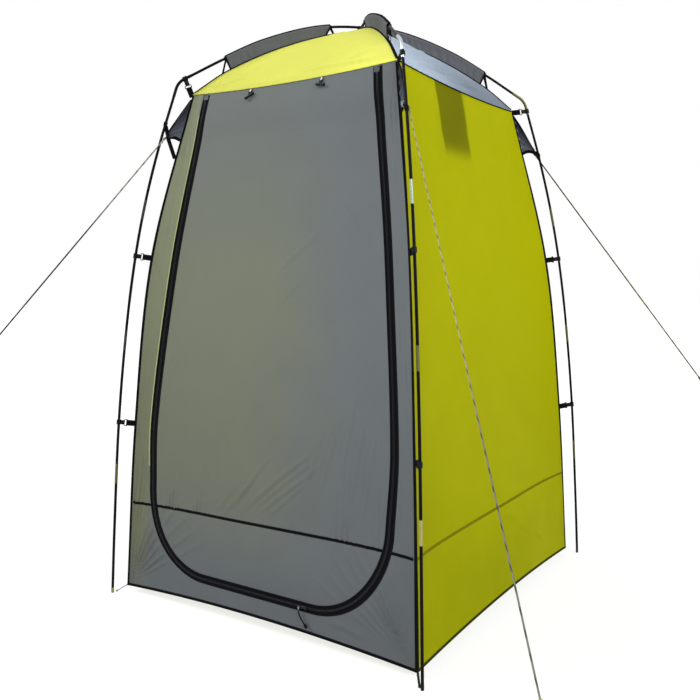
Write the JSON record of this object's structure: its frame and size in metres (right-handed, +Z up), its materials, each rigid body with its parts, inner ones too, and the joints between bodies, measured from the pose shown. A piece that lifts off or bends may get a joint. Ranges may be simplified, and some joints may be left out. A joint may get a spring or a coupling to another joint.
{
  "type": "privacy shower tent",
  "caption": "Square pop-up style privacy shower tent hung inside crossed bowed pole arches, with a zipped front door, roof visor, strap clips, corner gussets and guy lines.",
  "frame": {"origin": "on the ground, under the middle of the tent", "axes": "+Z up, +X to the right along the door wall, -Y out of the door"},
  "size_m": [2.1227, 2.2606, 2.0675],
  "materials": {
    "slate_cloth": "coated woven polyester, slate grey",
    "lime_cloth": "coated woven polyester, lime",
    "yellow_cloth": "coated woven polyester, bright yellow",
    "mist_cloth": "coated woven polyester, light blue-grey",
    "webbing": "black woven webbing with moulded ring and hook",
    "rod_gloss": "black glass-fibre rod with bright metal ferrule",
    "steel": "plain bright metal",
    "black_plastic": "moulded, satin",
    "guy_cord": "braided cord, pale yellow with dark flecks",
    "pocket_mesh": "dark cloth pocket"
  },
  "bodies": {
    "tent": {"front_wall": "slate_cloth", "right_wall": "lime_cloth", "back_wall": "slate_cloth", "left_wall": "lime_cloth", "roof_visor": "yellow_cloth", "roof_gore_right": "mist_cloth", "roof_gore_back": "yellow_cloth", "roof_gore_left": "mist_cloth", "rod_foot_fl": "rod_gloss", "rod_shin_fl": "rod_gloss", "rod_thigh_fl": "rod_gloss", "rod_top_fl": "rod_gloss", "elbow_fl": "steel", "sleeve_fl": "slate_cloth", "gusset_fl": "slate_cloth", "clip_low_fl": "webbing", "clip_mid_fl": "webbing", "clip_top_fl": "webbing", "rod_foot_fr": "rod_gloss", "rod_shin_fr": "rod_gloss", "rod_thigh_fr": "rod_gloss", "rod_top_fr": "rod_gloss", "elbow_fr": "steel", "sleeve_fr": "slate_cloth", "gusset_fr": "slate_cloth", "clip_low_fr": "webbing", "clip_mid_fr": "webbing", "clip_top_fr": "webbing", "rod_foot_br": "rod_gloss", "rod_shin_br": "rod_gloss", "rod_thigh_br": "rod_gloss", "rod_top_br": "rod_gloss", "elbow_br": "steel", "sleeve_br": "slate_cloth", "gusset_br": "slate_cloth", "clip_low_br": "webbing", "clip_mid_br": "webbing", "clip_top_br": "webbing", "rod_foot_bl": "rod_gloss", "rod_shin_bl": "rod_gloss", "rod_thigh_bl": "rod_gloss", "rod_top_bl": "rod_gloss", "elbow_bl": "steel", "sleeve_bl": "slate_cloth", "gusset_bl": "slate_cloth", "clip_low_bl": "webbing", "clip_mid_bl": "webbing", "clip_top_bl": "webbing", "roof_rod_a": "rod_gloss", "roof_rod_b": "rod_gloss", "inner_pocket": "pocket_mesh", "guy_line_fl": "guy_cord", "guy_line_fr": "guy_cord", "guy_line_br": "guy_cord"},
    "door": {"door_panel": "slate_cloth"},
    "slider_left": {"zip_slider_left": "steel"},
    "slider_right": {"zip_slider_right": "steel"},
    "pull": {"zip_pull": "black_plastic"},
    "toggle_left": {"toggle_left": "black_plastic"},
    "toggle_right": {"toggle_right": "black_plastic"}
  },
  "joints": [
    {"name": "door_hinge", "type": "hinge", "parent": "tent", "child": "door", "pos_m": [0, -0.4465, 1.714], "axis": [-1, 0, 0], "range_deg": [0, 80]},
    {"name": "slider_left_run", "type": "slide", "parent": "door", "child": "slider_left", "axis": [1, 0, 0], "range_m": [-0.43, 0]},
    {"name": "slider_right_run", "type": "slide", "parent": "door", "child": "slider_right", "axis": [1, 0, 0], "range_m": [0, 0.05]},
    {"name": "pull_swing", "type": "hinge", "parent": "slider_left", "child": "pull", "pos_m": [0.18535, -0.6077, 0.119], "axis": [-1, 0, 0], "range_deg": [0, 150]},
    {"name": "toggle_left_swing", "type": "hinge", "parent": "tent", "child": "toggle_left", "pos_m": [-0.15, -0.43471, 1.76468], "axis": [-1, 0, 0], "range_deg": [0, 95]},
    {"name": "toggle_right_swing", "type": "hinge", "parent": "tent", "child": "toggle_right", "pos_m": [0.15, -0.43471, 1.76468], "axis": [-1, 0, 0], "range_deg": [0, 95]}
  ]
}
